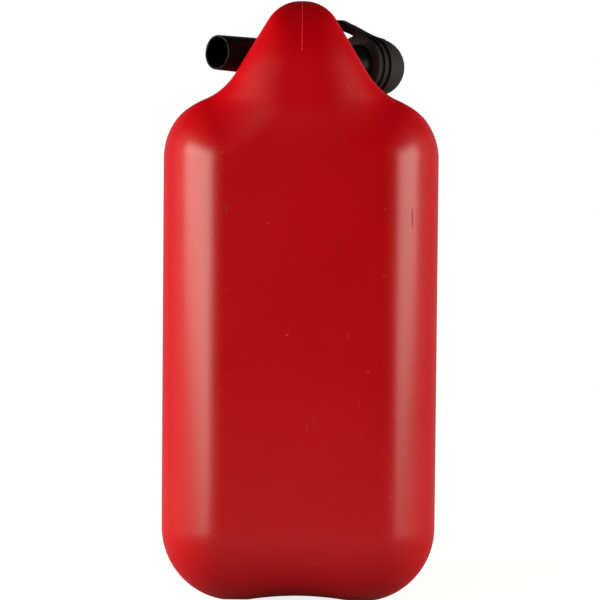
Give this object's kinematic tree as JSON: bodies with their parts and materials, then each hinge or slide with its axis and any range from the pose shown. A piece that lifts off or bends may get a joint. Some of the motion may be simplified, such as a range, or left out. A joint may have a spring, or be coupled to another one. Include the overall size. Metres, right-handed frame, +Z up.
{
  "type": "plastic fuel can",
  "caption": "Portable red plastic fuel can with a hollow handle moulded over the tank, a push-and-turn cap, and a pouring spout stored crosswise under the handle on a strap.",
  "frame": {"origin": "centre of the can's outline on the ground it stands on", "axes": "+Z up, -Y towards the rear end with the hump, +Y towards the neck, +X towards the stored spout's nut"},
  "size_m": [0.1664, 0.248, 0.365],
  "materials": {
    "red_hdpe": "satin, as blow-moulded",
    "black_plastic": "satin, injection-moulded",
    "black_flexible": "satin, flexible polyethylene",
    "grey_seal": "matt"
  },
  "bodies": {
    "can": {"can_body": "red_hdpe", "retaining_strap": "black_flexible"},
    "seal": {"cap_seal": "grey_seal"},
    "cap_inner": {"cap_inner_shell": "black_plastic"},
    "cap_outer": {"cap_outer_shell": "black_plastic"},
    "spout": {"spout_tube": "black_flexible", "spout_gasket": "grey_seal"},
    "nut": {"spout_nut": "black_plastic"}
  },
  "joints": [
    {"name": "cap_rise", "type": "slide", "parent": "can", "child": "seal", "axis": [0, 0, 1], "range_m": [0, 0.0061]},
    {"name": "cap_turn", "type": "hinge", "parent": "seal", "child": "cap_inner", "pos_m": [0, 0.088, 0.34], "axis": [0, 0, 1], "range_deg": [0, 540]},
    {"name": "cap_push", "type": "slide", "parent": "cap_inner", "child": "cap_outer", "axis": [0, 0, -1], "range_m": [0, 0.0008], "stiffness_N_per_m": 3000},
    {"name": "spout_pull", "type": "slide", "parent": "can", "child": "spout", "axis": [0.7062, 0.7062, -0.0506], "range_m": [0, 0.06], "deforming": ["retaining_strap"]},
    {"name": "nut_turn", "type": "hinge", "parent": "spout", "child": "nut", "pos_m": [0.0346, 0.0033, 0.3275], "axis": [0.7062, 0.7062, -0.0506], "continuous": true}
  ],
  "couplings": [
    {"joint": "cap_rise", "follows": "cap_turn", "m_per_rad": 0.00063662}
  ]
}
